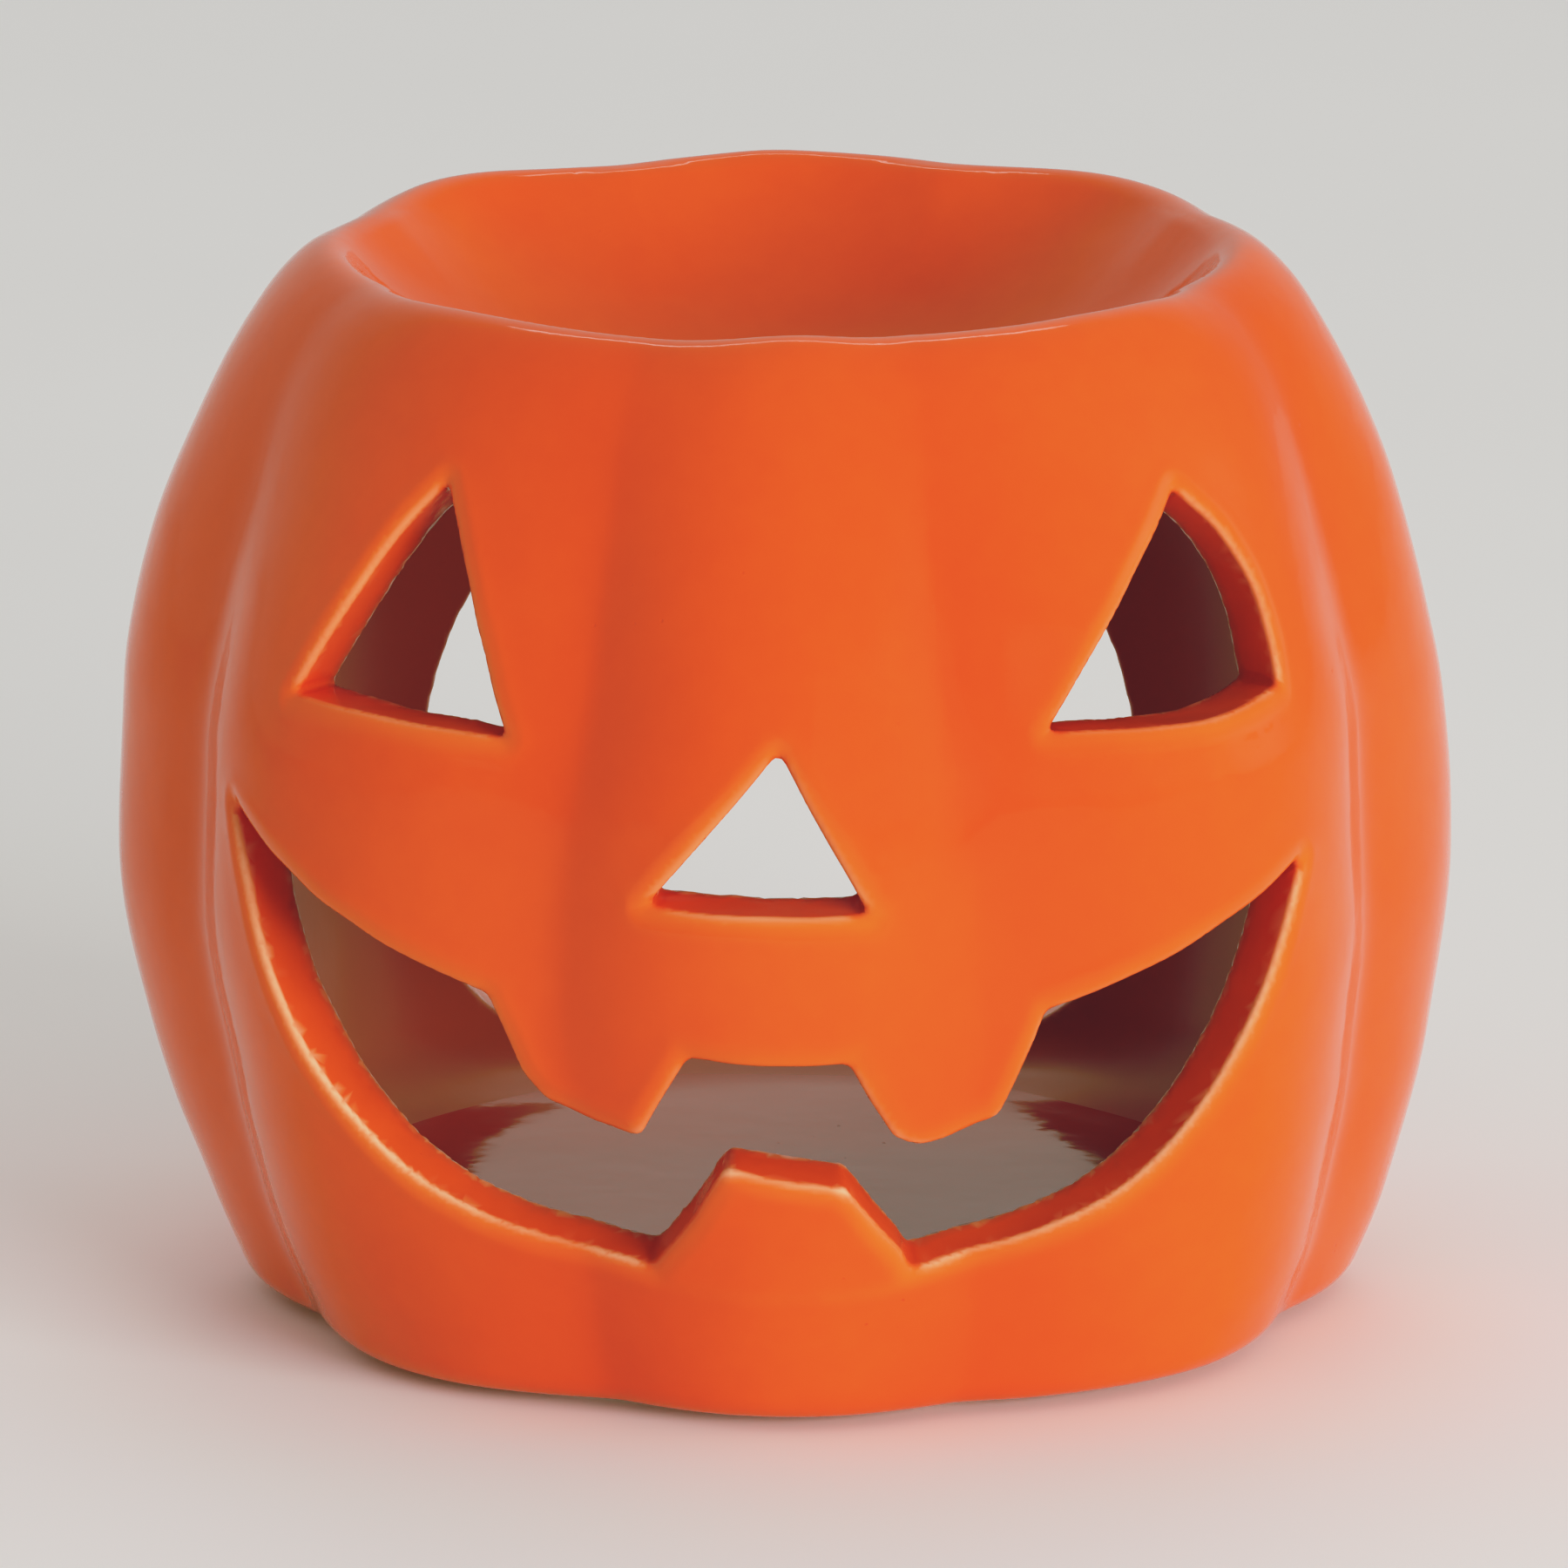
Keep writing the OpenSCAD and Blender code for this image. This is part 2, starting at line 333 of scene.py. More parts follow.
OUTER = build_outer()
CAVITY = build_cavity()
CUTS = [
    (cut_grid(plain(eased(EYE_L, (0, 3, 4))), (-48, -22, 54, 78), 0.33), 51.0, (-48, -22, 54, 78)),
    (cut_grid(plain(eased(EYE_R, (0, 4, 6))), (21, 49, 54, 78), 0.33), 51.0, (21, 49, 54, 78)),
    (cut_grid(plain(NOSE), (-11, 7, 42, 56), 0.33), 48.0, (-11, 7, 42, 56)),
    (cut_grid(mouth_field, (-59, 51, 12, 52), 0.42), 33.0, (-59, 51, 12, 52)),
]
ARCH = cut_grid(arch_field, (-30, 30, 8, 62), 0.4, 0.2)

swell = Waves(11, 26.0)      # slow unevenness of the cast wall
ripple = Waves(23, 9.0)      # faint waviness of the fired glaze
wobble = Waves(37, 7.0)      # the knife's path
ragged = Waves(41, 1.7)      # chatter on the inner edges


def spread(a, z):
    """Angle with the front lobe drawn in a little narrower than its neighbours."""
    aa = np.abs(a)
    g = np.radians(16.9 + 2.5 * smooth(66.0, 36.0, z) + np.where(a < 0, 1.4, -1.4))
    q = math.pi / 8
    inner = aa * q / g
    outer = q + (aa - g) * q / (2 * q - g)
    return np.where(aa < g, inner, np.where(aa < 2 * q, outer, aa))


def sections(x, y, z):
    """(outer solid, cavity) signed distances, and the groove value at each point."""
    xx = x - lean(z)
    rho = np.hypot(xx, y)
    a = np.arctan2(xx, -y)
    ca = np.maximum(0.0, np.cos(a))
    b = spread(a, z)
    soft = 0.24 - 0.13 * np.cos(a) ** 6
    vee = 1 - np.sqrt((np.cos(4 * b) ** 2 + soft**2) / (1 + soft**2))
    g = grv(z) * vee * (1.15 - 0.35 * ca**2 + 0.25 * ca**4 * smooth(45, 60, z) * smooth(83, 75, z))
    deg = np.abs(np.degrees(a))
    ear = np.exp(-(((deg - 132) / 24) ** 2)) * (np.maximum(0.0, z - 70) / 14) ** 2
    dip = 0.3 * (1 - np.cos(8 * b))
    w = smooth(24.0, 34.0, rho)
    ramp = np.clip((z - 74) / 10, 0, 1) ** 1.5 * np.clip((rho - 28) / 6, 0, 1) ** 2
    uneven = 0.10 * (swell(x, y, z) + 1.3) * w + 0.022 * (ripple(x, y, z) + 1.3)
    so = OUTER(rho + (g - ear) * w, z + dip * ramp) + uneven
    so = smax(so, FOOT_H - z, 2.2)
    sc = CAVITY(rho + 0.6 * g * smooth(20.0, 36.0, rho), z) - 0.05 * swell(y, z, x)
    return so, sc, vee * smooth(30.0, 38.0, rho)


def holes(x, y, z):
    """Distance to the nearest opening in the wall, negative inside it."""
    h = np.full(x.shape, 30.0)
    front = y < -2.0
    if front.any():
        xf, yf, zf = x[front], y[front], z[front]
        s = PLANE / (FOCUS_Y - yf)
        u = xf * s
        hf = np.full(xf.shape, 30.0)
        for grid, level, box in CUTS:
            v = level + (zf - level) * s
            m = (u > box[0] - 5) & (u < box[1] + 5) & (v > box[2] - 5) & (v < box[3] + 5)
            if m.any():
                hf[m] = np.minimum(hf[m], grid(u[m], v[m]) / s[m])
        h[front] = hf
    back = y > 8.0
    if back.any():
        h[back] = ARCH(x[back], z[back])
    near = h < 4.0
    if near.any():
        h[near] += 0.04 * wobble(x[near], y[near], z[near])
    return h


def field(x, y, z, parts=False):
    so, sc, vee = sections(x, y, z)
    h = holes(x, y, z)
    near = h < 9.0
    hp = np.maximum(h, 0)
    roll = 0.24 * np.exp(-((hp / 1.0) ** 2)) - 0.09 * np.exp(-(((hp - 1.5) / 0.7) ** 2))
    so = np.where(near, so + roll * smooth(-2.5, 0.5, so), so)
    wall = np.maximum(so, -sc)
    inner = smooth(-3.6, -5.4, so)
    hh = h + np.where(near, 0.03 * inner * ragged(x, y, z), 0)
    k = 0.30 + 0.50 * smooth(-3.4, -1.2, so)
    f = np.where(near, smax(wall, -hh, k), wall)
    if parts:
        return f, so, sc, h, vee
    return f


def gradient(P, e=0.06):
    g = np.empty_like(P)
    for i in range(3):
        d = np.zeros(3)
        d[i] = e
        a, b = P + d, P - d
        g[:, i] = (field(*a.T) - field(*b.T)) / (2 * e)
    return g


def project(P, steps=2):
    P = P.copy()
    for _ in range(steps):
        f = field(*P.T)
        g = gradient(P)
        step = f / np.maximum((g * g).sum(1), 0.25)
        P -= np.clip(step, -0.3, 0.3)[:, None] * g
    return P


# ------------------------------------------------------------------ meshing


def net(h):
    """Surface net of the field: a closed quad mesh, one vertex per crossed cell."""
    lo = np.array([-54.6, -54.6, -0.6])
    hi = np.array([54.6, 52.6, BODY_H + 1.2])
    n = np.ceil((hi - lo) / h).astype(int) + 1
    block = 8
    nb = np.ceil(n / block).astype(int)
    n = nb * block + 1
    c = [lo[i] + (np.arange(nb[i]) + 0.5) * block * h for i in range(3)]
    C = np.stack(np.meshgrid(*c, indexing="ij"), -1).reshape(-1, 3)
    fc = field(*C.T)
    reach = block * h * 0.5 * math.sqrt(3) * 1.35 + 0.4
    busy = (np.abs(fc) < reach).reshape(nb)
    F = np.repeat(np.repeat(np.repeat(fc.reshape(nb), block, 0), block, 1), block, 2).astype(np.float32)
    F = np.pad(F, [(0, 1)] * 3, mode="edge")
    M = np.zeros(F.shape, bool)
    B = np.repeat(np.repeat(np.repeat(busy, block, 0), block, 1), block, 2)
    M[:-1, :-1, :-1] |= B
    M[1:, :-1, :-1] |= B
    M[:-1, 1:, :-1] |= B
    M[:-1, :-1, 1:] |= B
    M[1:, 1:, :-1] |= B
    M[1:, :-1, 1:] |= B
    M[:-1, 1:, 1:] |= B
    M[1:, 1:, 1:] |= B
    idx = np.flatnonzero(M.ravel())
    ny, nz = F.shape[1], F.shape[2]
    flat = F.ravel()
    for s in range(0, len(idx), 400000):
        q = idx[s : s + 400000]
        i = q // (ny * nz)
        j = (q // nz) % ny
        k = q % nz
        flat[q] = field(lo[0] + i * h, lo[1] + j * h, lo[2] + k * h)
    F = flat.reshape(F.shape)
    S = F < 0
    total = np.zeros(tuple(d - 1 for d in F.shape), np.uint8)
    corner = {}
    for dx in (0, 1):
        for dy in (0, 1):
            for dz in (0, 1):
                v = S[dx : dx + total.shape[0], dy : dy + total.shape[1], dz : dz + total.shape[2]]
                total += v
    act = (total > 0) & (total < 8)
    I = np.argwhere(act)
    vid = np.full(total.shape, -1, np.int64)
    vid[act] = np.arange(len(I))
    pos = np.zeros((len(I), 3))
    cnt = np.zeros(len(I))
    offs = [(0, 0, 0), (1, 0, 0), (0, 1, 0), (1, 1, 0), (0, 0, 1), (1, 0, 1), (0, 1, 1), (1, 1, 1)]
    val = {o: F[I[:, 0] + o[0], I[:, 1] + o[1], I[:, 2] + o[2]].astype(float) for o in offs}
    for a in offs:
        for ax in range(3):
            if a[ax]:
                continue
            b = list(a)
            b[ax] = 1
            b = tuple(b)
            fa, fb = val[a], val[b]
            m = (fa < 0) != (fb < 0)
            t = fa[m] / (fa[m] - fb[m])
            p = np.tile(np.array(a, float), (m.sum(), 1))
            p[:, ax] = t
            pos[m] += p
            cnt[m] += 1
    P = lo + (I + pos / cnt[:, None]) * h
    quads = []
    for ax in range(3):
        sl0 = [slice(None)] * 3
        sl1 = [slice(None)] * 3
        sl0[ax] = slice(0, -1)
        sl1[ax] = slice(1, None)
        a, b = S[tuple(sl0)], S[tuple(sl1)]
        E = np.argwhere(a != b)
        o1, o2 = [(1, 2), (2, 0), (0, 1)][ax]
        ok = (E[:, o1] > 0) & (E[:, o2] > 0)
        E = E[ok]
        inside_first = a[tuple(E.T)]

        def cell(d1, d2):
            Q = E.copy()
            Q[:, o1] -= d1
            Q[:, o2] -= d2
            return vid[tuple(Q.T)]

        q = np.stack([cell(1, 1), cell(0, 1), cell(0, 0), cell(1, 0)], 1)
        q[~inside_first] = q[~inside_first][:, ::-1]
        quads.append(q)
    return P, np.concatenate(quads)


def mesh_from(name, verts_mm, faces):
    me = bpy.data.meshes.new(name)
    nv, nf = len(verts_mm), len(faces)
    k = faces.shape[1]
    me.vertices.add(nv)
    me.vertices.foreach_set("co", (verts_mm / 1000.0).astype(np.float32).ravel())
    me.loops.add(nf * k)
    me.loops.foreach_set("vertex_index", faces.astype(np.int32).ravel())
    me.polygons.add(nf)
    me.polygons.foreach_set("loop_start", np.arange(0, nf * k, k, dtype=np.int32))
    me.update(calc_edges=True)
    me.validate()
    return me


def place(name, me):
    ob = bpy.data.objects.new(name, me)
    bpy.context.scene.collection.objects.link(ob)
    return ob


def apply_modifiers(ob):
    bpy.context.view_layer.update()
    dg = bpy.context.evaluated_depsgraph_get()
    me = bpy.data.meshes.new_from_object(ob.evaluated_get(dg), preserve_all_data_layers=True, depsgraph=dg)
    old = ob.data
    ob.modifiers.clear()
    ob.data = me
    bpy.data.meshes.remove(old)
    return ob


def coords(me):
    co = np.empty(len(me.vertices) * 3, np.float32)
    me.vertices.foreach_get("co", co)
    return co.reshape(-1, 3).astype(float)


def revolve(name, half_mm, segments=256):
    """A closed solid of revolution from a half outline that starts and ends on the axis."""
    half = np.array(half_mm, float)
    n = len(half)
    a = np.arange(segments) * 2 * math.pi / segments
    ring = half[1:-1]
    verts = [(0, 0, half[0][1]), (0, 0, half[-1][1])]
    P = np.stack([
        np.outer(ring[:, 0], np.cos(a)),
        np.outer(ring[:, 0], np.sin(a)),
        np.outer(ring[:, 1], np.ones(segments)),
    ], -1).reshape(-1, 3)
    bm = bmesh.new()
    vs = [bm.verts.new(Vector(p) / 1000) for p in verts] + [bm.verts.new(Vector(p) / 1000) for p in P]
    m = len(ring)
    for s in range(segments):
        t = (s + 1) % segments
        for r in range(m - 1):
            bm.faces.new([vs[2 + r * segments + s], vs[2 + r * segments + t], vs[2 + (r + 1) * segments + t], vs[2 + (r + 1) * segments + s]])
        bm.faces.new([vs[0], vs[2 + t], vs[2 + s]])
        bm.faces.new([vs[1], vs[2 + (m - 1) * segments + s], vs[2 + (m - 1) * segments + t]])
    bmesh.ops.recalc_face_normals(bm, faces=bm.faces)
    me = bpy.data.meshes.new(name)
    bm.to_mesh(me)
    bm.free()
    return place(name, me)


def boolean(ob, cutter, how):
    mod = ob.modifiers.new("cut", "BOOLEAN")
    mod.operation = how
    mod.object = cutter
    mod.solver = "MANIFOLD"
    return apply_modifiers(ob)


STEP = 0.42
P, Q = net(STEP)
P = project(P, 2)
blank = place("blank", mesh_from("blank", P, Q))
tri = len(Q) * 2
target = 176000
mod = blank.modifiers.new("thin", "DECIMATE")
mod.ratio = min(1.0, target / tri)
mod.use_collapse_triangulate = True
apply_modifiers(blank)
co = project(coords(blank.data) * 1000.0, 2)
blank.data.vertices.foreach_set("co", (co / 1000.0).astype(np.float32).ravel())
blank.data.update()
print("mesh", tri, "->", len(blank.data.polygons))

# ---- split at the CAD joints: the dish on its ledge, the floor inside the wall
ledge_z = dish_hi.z * 1000 - 2.6
dish_tool = revolve("dish_tool", [
    (0, 55), (27.5, 55), (27.5, ledge_z), (SEAM_R, ledge_z), (SEAM_R, 90), (0, 90)])
floor_tool = revolve("floor_tool", [(0, -3), (FLOOR_R, -3), (FLOOR_R, 30), (0, 30)])


def copy_of(ob, name):
    me = ob.data.copy()
    me.name = name
    return place(name, me)


dish = boolean(copy_of(blank, "dish_glazed"), dish_tool, "INTERSECT")
plate = boolean(copy_of(blank, "chamber_floor"), floor_tool, "INTERSECT")
shell = boolean(copy_of(blank, "pumpkin_wall"), dish_tool, "DIFFERENCE")
shell = boolean(shell, floor_tool, "DIFFERENCE")
for ob in (blank, dish_tool, floor_tool):
    me = ob.data
    bpy.data.objects.remove(ob)
    bpy.data.meshes.remove(me)


def finish_surface(ob):
    """Smooth shading from the field itself, the glaze thickness it implies, and a painted highlight mask on
    upward-facing convex edges.
    """
    me = ob.data
    P = coords(me) * 1000.0
    f, so, sc, h, vee = field(*P.T, parts=True)
    G = gradient(P, 0.05)
    G /= np.maximum(np.linalg.norm(G, axis=1), 1e-9)[:, None]
    e = 0.45
    lap = -6 * f
    for i in range(3):
        d = np.zeros(3)
        d[i] = e
        lap += field(*(P + d).T) + field(*(P - d).T)
    bend = np.clip(lap / e**2, -2.0, 2.0)
    for name, value in (
        ("bend", bend),
        # thin glaze on convex edges, raised on upward-facing ones: partly real glaze break, partly painted highlight
        ("thin_edge_and_glint", smooth(0.7, 1.7, bend) * (0.35 + 0.65 * smooth(0.05, 0.75, G[:, 2]))),
        ("groove", vee * smooth(-1.6, -0.3, so)),
        ("chamber", smooth(1.5, -0.4, sc) * smooth(-1.0, -3.0, so)),
        ("opening", smooth(3.0, 0.2, h) * smooth(-1.3, -0.1, so)),
    ):
        at = me.attributes.new(name, "FLOAT", "POINT")
        at.data.foreach_set("value", value.astype(np.float32))
    nl = len(me.loops)
    lv = np.empty(nl, np.int32)
    me.loops.foreach_get("vertex_index", lv)
    npoly = len(me.polygons)
    start = np.empty(npoly, np.int32)
    count = np.empty(npoly, np.int32)
    me.polygons.foreach_get("loop_start", start)
    me.polygons.foreach_get("loop_total", count)
    fn = np.empty(npoly * 3, np.float32)
    me.polygons.foreach_get("normal", fn)
    fn = fn.reshape(-1, 3)
    cen = np.empty(npoly * 3, np.float32)
    me.polygons.foreach_get("center", cen)
    cen = cen.reshape(-1, 3).astype(float) * 1000.0
    face_of = np.repeat(np.arange(npoly), count)
    order = np.argsort(start, kind="stable")
    face_of = np.repeat(order, count[order])
    N = G[lv].astype(np.float32)
    agree = (N * fn[face_of]).sum(1)
    inner = (np.abs(field(*cen.T)) > 0.12)[face_of] | (agree < 0.35)
    N[inner] = fn[face_of][inner]
    me.polygons.foreach_set("use_smooth", np.ones(npoly, bool))
    me.normals_split_custom_set(N.tolist())
    return ob


for ob in (shell, dish, plate):
    finish_surface(ob)

# ---- the unglazed foot: a wiped disc with an eased, slightly uneven edge
foot_wave = Waves(53, 22.0)
segs = 192
ang = np.arange(segs) * 2 * math.pi / segs
edge_r = FOOT_R - 0.18 * (foot_wave(30 * np.cos(ang), 30 * np.sin(ang), 0 * ang) + 1.35)
rings = [(0.30, 0.06), (0.62, 0.03), (0.86, 0.0), (0.955, 0.0), (0.985, 0.05), (0.996, 0.16), (1.0, 0.34), (1.0, FOOT_H)]
bm = bmesh.new()
bottom = bm.verts.new((0, 0, 0.07 / 1000))
loops = []
for s, z in rings:
    loops.append([bm.verts.new((edge_r[i] * s * math.cos(ang[i]) / 1000, edge_r[i] * s * math.sin(ang[i]) / 1000, z / 1000)) for i in range(segs)])
top = bm.verts.new((0, 0, FOOT_H / 1000))
for i in range(segs):
    j = (i + 1) % segs
    bm.faces.new([bottom, loops[0][j], loops[0][i]])
    for a, b in zip(loops[:-1], loops[1:]):
        bm.faces.new([a[i], a[j], b[j], b[i]])
    bm.faces.new([loops[-1][i], loops[-1][j], top])
bmesh.ops.recalc_face_normals(bm, faces=bm.faces)
me = bpy.data.meshes.new("dry_foot_biscuit")
bm.to_mesh(me)
bm.free()
me.polygons.foreach_set("use_smooth", np.ones(len(me.polygons), bool))
me.set_sharp_from_angle(angle=math.radians(50))
foot = place("dry_foot_biscuit", me)

# ------------------------------------------------------------------ materials


class Nodes:
    """A few short-hands for building a node tree."""

    def __init__(self, name):
        self.m = bpy.data.materials.new(name)
        self.m.use_nodes = True
        self.t = self.m.node_tree
        self.t.nodes.clear()
        self.out = self.t.nodes.new("ShaderNodeOutputMaterial")
        self.bsdf = self.t.nodes.new("ShaderNodeBsdfPrincipled")
        self.t.links.new(self.bsdf.outputs[0], self.out.inputs[0])

    def link(self, a, b):
        self.t.links.new(a, b)

    def put(self, socket, v):
        if hasattr(v, "is_output"):
            self.link(v, socket)
        else:
            socket.default_value = v

    def coord(self):
        n = self.t.nodes.new("ShaderNodeTexCoord")
        return n.outputs["Object"]

    def attr(self, name):
        n = self.t.nodes.new("ShaderNodeAttribute")
        n.attribute_type = "GEOMETRY"
        n.attribute_name = name
        return n.outputs["Fac"]

    def noise(self, vec, scale, detail=3.0, rough=0.5):
        n = self.t.nodes.new("ShaderNodeTexNoise")
        self.link(vec, n.inputs["Vector"])
        n.inputs["Scale"].default_value = scale
        n.inputs["Detail"].default_value = detail
        n.inputs["Roughness"].default_value = rough
        return n.outputs["Fac"]

    def cells(self, vec, scale):
        n = self.t.nodes.new("ShaderNodeTexVoronoi")
        self.link(vec, n.inputs["Vector"])
        n.inputs["Scale"].default_value = scale
        return n.outputs["Distance"], n.outputs["Color"]

    def span(self, v, a, b, c=0.0, d=1.0, soft=True):
        n = self.t.nodes.new("ShaderNodeMapRange")
        n.interpolation_type = "SMOOTHSTEP" if soft else "LINEAR"
        n.clamp = True
        self.put(n.inputs["Value"], v)
        for key, x in (("From Min", a), ("From Max", b), ("To Min", c), ("To Max", d)):
            n.inputs[key].default_value = x
        return n.outputs[0]

    def math(self, op, a, b=0.0):
        n = self.t.nodes.new("ShaderNodeMath")
        n.operation = op
        self.put(n.inputs[0], a)
        self.put(n.inputs[1], b)
        return n.outputs[0]

    def mix(self, fac, a, b):
        n = self.t.nodes.new("ShaderNodeMix")
        n.data_type = "RGBA"
        self.put(n.inputs["Factor"], fac)
        self.put(n.inputs[6], a)
        self.put(n.inputs[7], b)
        return n.outputs[2]

    def bump(self, height, dist, strength=1.0, normal=None):
        n = self.t.nodes.new("ShaderNodeBump")
        n.inputs["Strength"].default_value = strength
        n.inputs["Distance"].default_value = dist
        self.link(height, n.inputs["Height"])
        if normal is not None:
            self.link(normal, n.inputs["Normal"])
        return n.outputs[0]


def rgb(r, g, b):
    f = lambda c: c / 12.92 if c <= 0.04045 else ((c + 0.055) / 1.055) ** 2.4
    return (f(r / 255), f(g / 255), f(b / 255), 1.0)


def glaze(name, body, thin, pooled, deep, warm, dull):
    """Fired gloss glaze: thins and pales over convex edges, where the pale colour is also a painted highlight,
    strongest on upward-facing edges; pools darker in hollows.
    """
    N = Nodes(name)
    c = N.coord()
    bend = N.attr("bend")
    groove = N.attr("groove")
    chamber = N.attr("chamber")
    cloud = N.noise(c, 38, 4, 0.55)
    fine = N.noise(c, 420, 3, 0.6)
    speck_d, speck_c = N.cells(c, 520)
    col = N.mix(N.span(cloud, 0.35, 0.68), body, tuple(list(np.array(body[:3]) * (1.03, 1.14, 1.2)) + [1.0]))
    col = N.mix(N.math("MULTIPLY", N.span(fine, 0.3, 0.7), 0.10), col, pooled)
    col = N.mix(N.math("MULTIPLY", groove, 0.35), col, pooled)
    hollow = N.span(bend, -0.12, -0.9, 0.0, 0.55)
    col = N.mix(hollow, col, pooled)
    halo = N.math("MULTIPLY", N.math("POWER", N.attr("opening"), 2.2), N.span(cloud, 0.3, 0.7, 0.25, 0.55))
    col = N.mix(halo, col, warm)
    # painted highlight: the pale edge colour on convex, upward-facing edges stands in for glints as well as thin
    # glaze
    pale_edge_and_glint = N.math("MULTIPLY", N.attr("thin_edge_and_glint"), N.span(cloud, 0.2, 0.8, 0.70, 1.0))
    col = N.mix(pale_edge_and_glint, col, thin)
    col = N.mix(N.math("MULTIPLY", chamber, 0.9), col, deep)
    speck = N.math("MULTIPLY", N.span(speck_d, 0.10, 0.02), N.span(N.noise(c, 60, 2), 0.60, 0.72))
    col = N.mix(N.math("MULTIPLY", speck, 0.5), col, pooled)
    N.link(col, N.bsdf.inputs["Base Color"])
    rough = N.span(N.noise(c, 130, 3), 0.3, 0.7, 0.055, 0.105)
    N.link(N.math("ADD", rough, N.math("MULTIPLY", chamber, dull)), N.bsdf.inputs["Roughness"])
    N.bsdf.inputs["IOR"].default_value = 1.5
    N.bsdf.inputs["Specular IOR Level"].default_value = 0.30
    peel = N.bump(N.noise(c, 210, 2, 0.5), 0.00006)
    grit = N.bump(N.noise(c, 900, 2, 0.5), 0.000008, 1.0, peel)
    pits = N.bump(N.math("SUBTRACT", 1.0, speck), 0.00005, 1.0, grit)
    N.link(pits, N.bsdf.inputs["Normal"])
    return N.m


ORANGE = rgb(231, 77, 24)
# pale edge colour: thin glaze and painted highlight in one
THIN_GLAZE_AND_GLINT = rgb(250, 188, 150)
WARM = rgb(241, 112, 50)
POOLED = rgb(205, 55, 18)
DEEP = rgb(174, 80, 50)
glaze_body = glaze("glaze_orange", ORANGE, THIN_GLAZE_AND_GLINT, POOLED, DEEP, WARM, 0.26)
glaze_floor = glaze("glaze_chamber", rgb(206, 72, 44), THIN_GLAZE_AND_GLINT, rgb(176, 52, 30), rgb(184, 60, 38), WARM, 0.02)


def biscuit():
    N = Nodes("biscuit_clay")
    c = N.coord()
    grain = N.noise(c, 900, 5, 0.7)
    cloud = N.noise(c, 55, 3)
    d, _ = N.cells(c, 700)
    col = N.mix(N.span(cloud, 0.3, 0.7), rgb(232, 221, 203), rgb(212, 196, 172))
    col = N.mix(N.math("MULTIPLY", N.span(grain, 0.55, 0.8), 0.4), col, rgb(186, 165, 138))
    col = N.mix(N.math("MULTIPLY", N.span(d, 0.12, 0.03), N.span(cloud, 0.5, 0.7)), col, rgb(150, 128, 104))
    N.link(col, N.bsdf.inputs["Base Color"])
    N.link(N.span(grain, 0.3, 0.7, 0.78, 0.92), N.bsdf.inputs["Roughness"])
    N.link(N.bump(grain, 0.00012), N.bsdf.inputs["Normal"])
    return N.m


clay = biscuit()
for ob, mat in ((shell, glaze_body), (dish, glaze_body), (plate, glaze_floor), (foot, clay)):
    ob.data.materials.clear()
    ob.data.materials.append(mat)

# ------------------------------------------------------------------ frame
for ob, nodes, slot in (
    (shell, ("pumpkin_shell",), "glaze_body"),
    (dish, ("melt_dish",), "glaze_body"),
    (plate, ("tealight_floor",), "glaze_inside"),
    (foot, ("dry_foot",), "biscuit"),
):
    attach(ob, "root")
    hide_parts(*nodes)

# ------------------------------------------------------------------ stage, light, camera


def stage_sweep():
    """A pale table whose far edge curves up a little, behind the view."""
    prof2 = [(-1.7, 0.0), (1.1, 0.0)]
    for i in range(1, 9):
        t = i / 8 * math.pi / 7
        prof2.append((1.1 + 0.9 * math.sin(t), 0.9 - 0.9 * math.cos(t)))
    bm = bmesh.new()
    rows = [[bm.verts.new((x, y, z)) for x in (-1.7, 1.7)] for y, z in prof2]
    for a, b in zip(rows[:-1], rows[1:]):
        bm.faces.new([a[0], a[1], b[1], b[0]])
    me = bpy.data.meshes.new("table_sweep")
    bm.to_mesh(me)
    bm.free()
    me.polygons.foreach_set("use_smooth", np.ones(len(me.polygons), bool))
    ob = place("table_sweep", me)
    N = Nodes("pale_table")
    c = N.coord()
    col = N.mix(N.span(N.noise(c, 6, 3), 0.3, 0.7), (0.89, 0.885, 0.875, 1), (0.91, 0.905, 0.895, 1))
    # painted shade: darker towards the key's foot, cancelling the key's stronger light there, so that no bright patch
    # of table mirrors in the glaze
    near = N.t.nodes.new("ShaderNodeVectorMath")
    near.operation = "DISTANCE"
    N.link(c, near.inputs[0])
    near.inputs[1].default_value = (0.76, -0.905, 0.0)
    pale = N.math("POWER", N.span(near.outputs["Value"], 0.0, 1.0, soft=False), 2.0)
    N.link(N.mix(pale, (0.02, 0.02, 0.02, 1), col), N.bsdf.inputs["Base Color"])
    N.bsdf.inputs["Roughness"].default_value = 0.7
    N.bsdf.inputs["Specular IOR Level"].default_value = 0.2
    me.materials.append(N.m)
    return ob


stage_sweep()


def area(name, where, at, size, watts, colour=(1, 1, 1), size_y=None):
    l = bpy.data.lights.new(name, "AREA")
    l.shape = "RECTANGLE"
    l.size = size
    l.size_y = size_y or size
    l.energy = watts
    l.color = colour
    ob = bpy.data.objects.new(name, l)
    ob.location = where
    ob.rotation_euler = (Vector(at) - Vector(where)).to_track_quat("-Z", "Y").to_euler()
    bpy.context.scene.collection.objects.link(ob)
    return ob


def polar(az, el, dist, z0=0.04):
    a, e = math.radians(az), math.radians(el)
    return (dist * math.sin(a) * math.cos(e), -dist * math.cos(a) * math.cos(e), z0 + dist * math.sin(e))


def soft_box(name, az, el, dist, wide, tall, radiance, colour=(1.0, 0.985, 0.965)):
    where = polar(az, el, dist)
    return area(name, where, (0, 0, 0.04), wide, radiance * math.pi * wide * tall, colour, tall)


key = soft_box("key", 40, 10, 1.2, 0.8, 0.38, 18.5)
key.visible_glossy = False      # a cross-polarised key: it models the form, leaves no mirror image
soft_box("back_top", 178, 56, 1.2, 0.6, 0.07, 5.0)


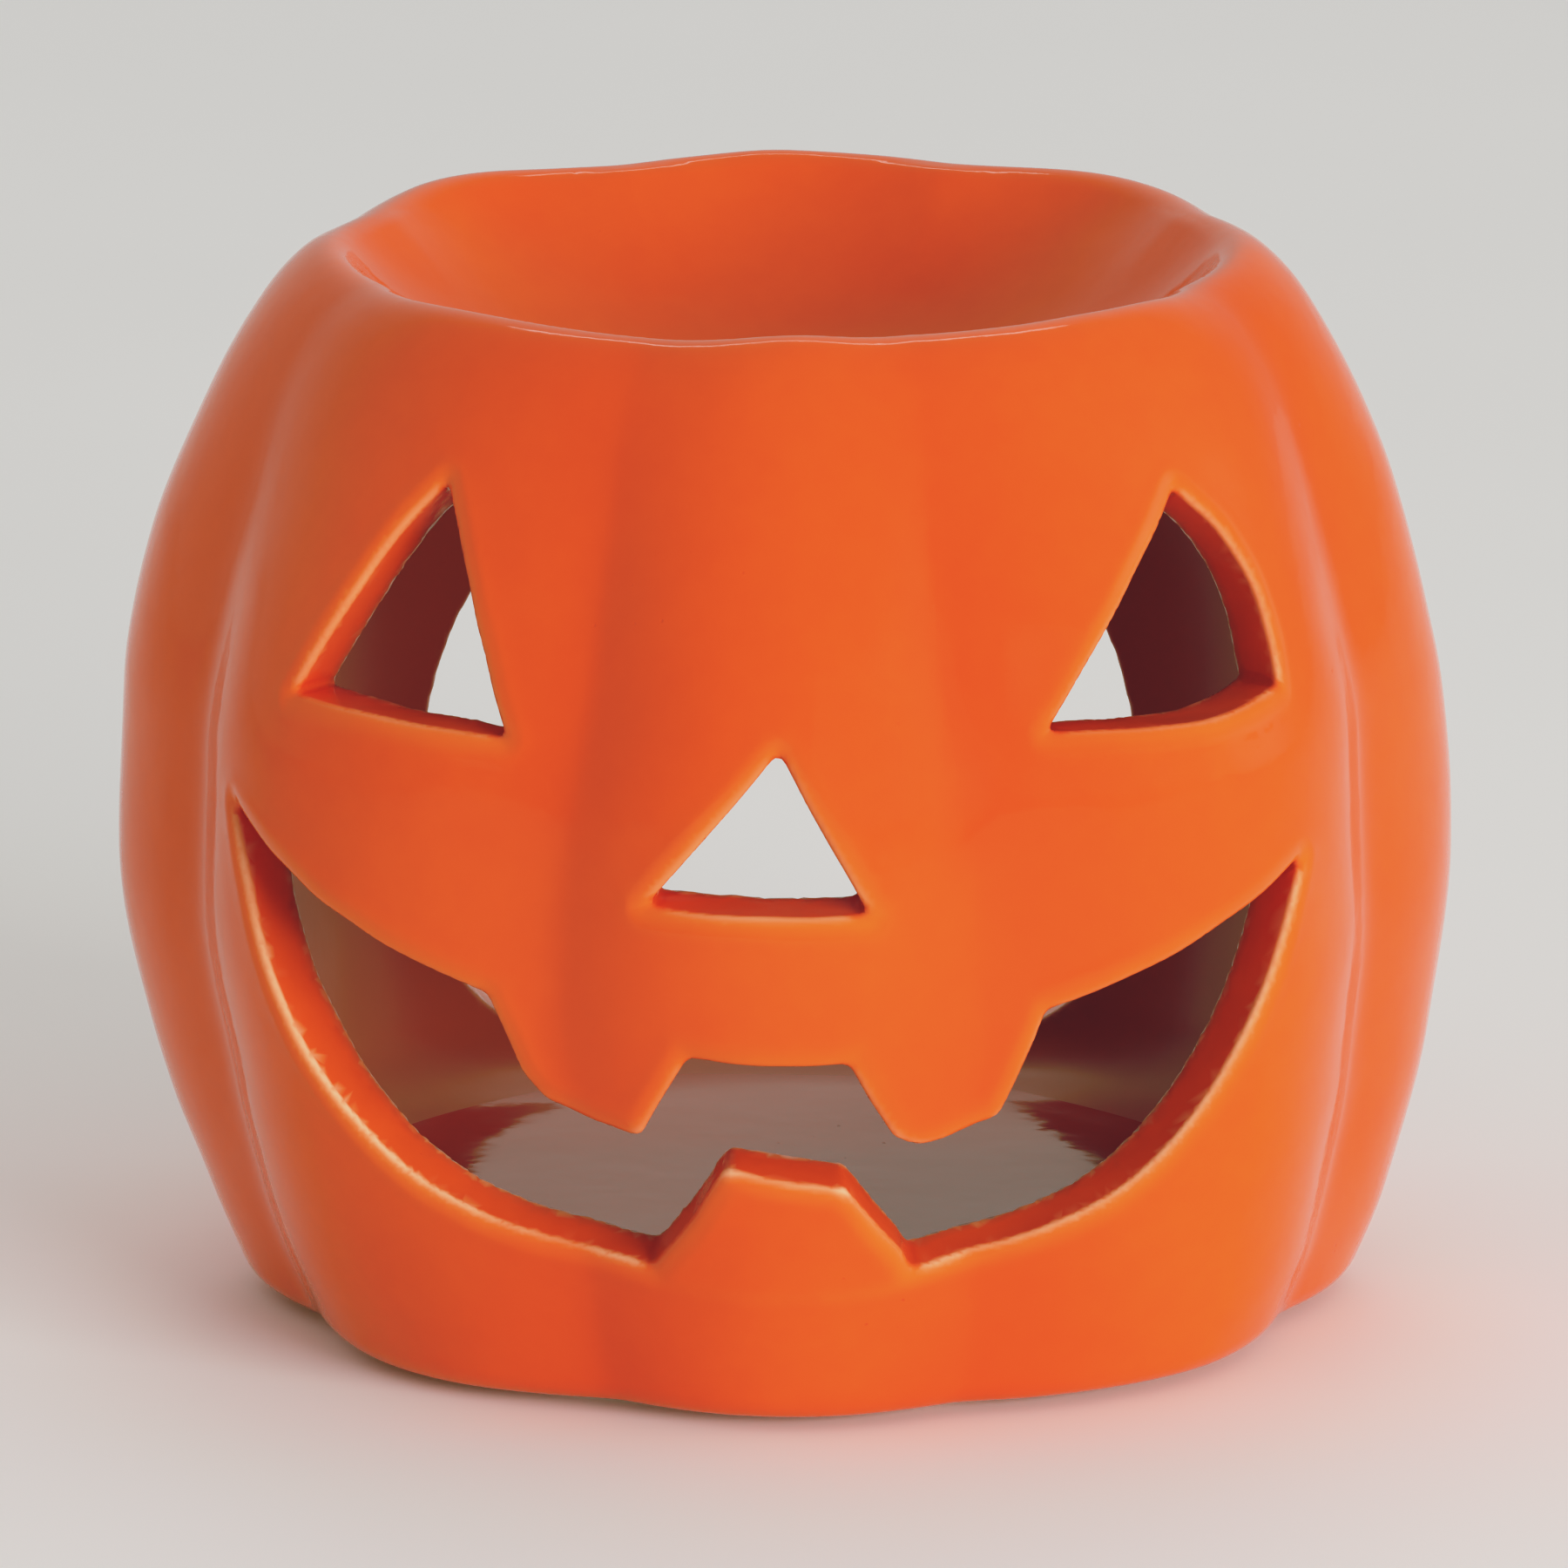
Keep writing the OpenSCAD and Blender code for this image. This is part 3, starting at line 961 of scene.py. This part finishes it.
def light_tent(ambient, lobes):
    """A studio tent: an even pale glow with a few broad, soft bright zones."""
    w = bpy.data.worlds.new("light_tent")
    w.use_nodes = True
    t = w.node_tree
    bg = t.nodes["Background"]
    tc = t.nodes.new("ShaderNodeTexCoord")
    total = None
    for az, el, k, amount in lobes:
        dot = t.nodes.new("ShaderNodeVectorMath")
        dot.operation = "DOT_PRODUCT"
        dot.inputs[1].default_value = polar(az, el, 1.0, 0.0)
        t.links.new(tc.outputs["Generated"], dot.inputs[0])
        m = t.nodes.new("ShaderNodeMath")
        m.operation = "MULTIPLY_ADD"
        m.inputs[1].default_value = k
        m.inputs[2].default_value = -k
        t.links.new(dot.outputs["Value"], m.inputs[0])
        e = t.nodes.new("ShaderNodeMath")
        e.operation = "EXPONENT"
        t.links.new(m.outputs[0], e.inputs[0])
        s = t.nodes.new("ShaderNodeMath")
        s.operation = "MULTIPLY_ADD"
        s.inputs[1].default_value = amount
        if total is None:
            s.inputs[2].default_value = ambient
        else:
            t.links.new(total, s.inputs[2])
        t.links.new(e.outputs[0], s.inputs[0])
        total = s.outputs[0]
    t.links.new(total, bg.inputs["Strength"])
    bg.inputs[0].default_value = (1.0, 0.985, 0.965, 1)
    bpy.context.scene.world = w


light_tent(0.27, (
    (88, 8, 14.0, 1.35),
    (180, 20, 3.0, 0.32),
    (180, 48, 12.0, 0.5),
    (-98, 10, 5.0, 0.55),
    (0, 90, 3.0, 0.22),
))

scene = bpy.context.scene
scene.cycles.use_denoising = True
view = scene.view_settings
view.view_transform = "Standard"
view.look = "None"
view.use_curve_mapping = True
cm = view.curve_mapping
cm.use_clip = False
cm.black_level = (0, 0, 0)
cm.white_level = (4, 4, 4)
film = cm.curves[3]
film.points[0].location = (0, 0)
film.points[-1].location = (1, 1)
for x, y in ((0.45, 0.45), (0.6, 0.578), (0.75, 0.676), (0.9, 0.75), (1.0, 0.788), (1.15, 0.820), (1.4, 0.843), (2.0, 0.88)):
    film.points.new(x / 4, y)
for index, toe in ((1, ((0.02, 0.021),)), (2, ((0.02, 0.0235), (0.05, 0.029), (0.15, 0.125), (0.30, 0.29)))):
    lift = cm.curves[index]
    lift.points[0].location = (0, 0.002 if index == 1 else 0.003)
    lift.points[-1].location = (1, 1)
    for x, y in toe:
        lift.points.new(x / 4, y / 4)
for curve in cm.curves:
    for p in curve.points:
        p.handle_type = "VECTOR"
cm.update()

cam_data = bpy.data.cameras.new("camera")
cam_data.sensor_width = 36.0
cam_data.lens = 351.6
cam_data.clip_start = 0.05
cam_data.clip_end = 20.0
cam = bpy.data.objects.new("camera", cam_data)
el = math.radians(13.85)
cam.location = (0.0, -1.2 * math.cos(el), 0.0404 + 1.2 * math.sin(el))
cam.rotation_euler = (math.radians(90 - 13.85), 0, 0)
scene.collection.objects.link(cam)
scene.camera = cam
